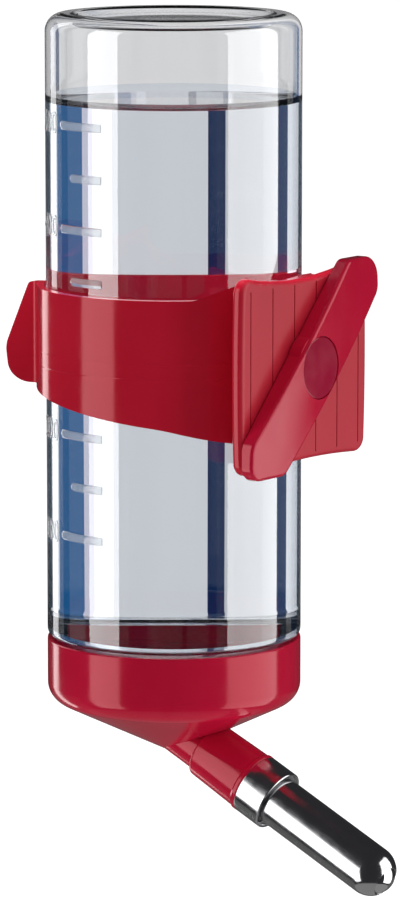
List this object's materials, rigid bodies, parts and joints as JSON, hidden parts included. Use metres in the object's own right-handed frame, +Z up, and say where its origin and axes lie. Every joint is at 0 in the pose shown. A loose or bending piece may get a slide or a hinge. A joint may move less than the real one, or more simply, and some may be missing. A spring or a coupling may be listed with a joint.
{
  "type": "rabbit water bottle",
  "caption": "Inverted clear bottle with a screw cap and inclined steel ball nozzle, held by a spring clip with a grooved plate and turning wing that grips cage wires.",
  "frame": {"origin": "centre of the clip plate's front face, where the cage wires are gripped", "axes": "+Z up along the bottle, -Y out of the plate's face into the cage, towards the nozzle's tip"},
  "size_m": [0.0754, 0.1142, 0.2364],
  "materials": {
    "clear_plastic": "clear, polished",
    "red_cap": "gloss crimson",
    "red_clip": "gloss crimson",
    "seal_rubber": "soft matt",
    "polished_steel": "polished stainless",
    "ball_steel": "mirror ball",
    "white_plastic": "satin",
    "spring_steel": "drawn wire"
  },
  "bodies": {
    "clip": {"clip_body": "red_clip", "clamp_spring": "spring_steel"},
    "puller": {"spring_washer": "spring_steel"},
    "wing": {"clamp_wing": "red_clip", "wing_axle": "red_clip", "retaining_ring": "spring_steel"},
    "bottle": {"bottle": "clear_plastic"},
    "gasket": {"cap_gasket": "seal_rubber"},
    "cap": {"cap": "red_cap", "spout_sleeve": "red_cap", "spout_seal": "seal_rubber", "nozzle_collar": "polished_steel", "nozzle_tube": "polished_steel", "valve_seat": "white_plastic"},
    "upper_ball": {"upper_ball": "ball_steel"},
    "tip_ball": {"tip_ball": "ball_steel"}
  },
  "joints": [
    {"name": "bottle_slide", "type": "slide", "parent": "clip", "child": "bottle", "axis": [0, 0, 1], "range_m": [-0.074, 0.05]},
    {"name": "cap_drop", "type": "slide", "parent": "bottle", "child": "gasket", "axis": [0, 0, -1], "range_m": [0, 0.016]},
    {"name": "cap_turn", "type": "hinge", "parent": "gasket", "child": "cap", "pos_m": [0, 0.0435, 0], "axis": [0, 0, -1], "range_deg": [0, 1152]},
    {"name": "tip_ball_lift", "type": "slide", "parent": "cap", "child": "tip_ball", "axis": [0, 0.8973, 0.4415], "range_m": [0, 0.003]},
    {"name": "upper_ball_lift", "type": "slide", "parent": "cap", "child": "upper_ball", "axis": [0, 0.8973, 0.4415], "range_m": [0, 0.034]},
    {"name": "wing_pull", "type": "slide", "parent": "clip", "child": "puller", "axis": [0, -1, 0], "range_m": [0, 0.0025], "stiffness_N_per_m": 1500, "springref_m": -0.002, "deforming": ["clamp_spring"]},
    {"name": "wing_turn", "type": "hinge", "parent": "puller", "child": "wing", "pos_m": [0, 0, 0], "axis": [0, -1, 0], "continuous": true}
  ],
  "couplings": [
    {"joint": "cap_turn", "follows": "cap_drop", "rad_per_m": 1256.6}
  ]
}
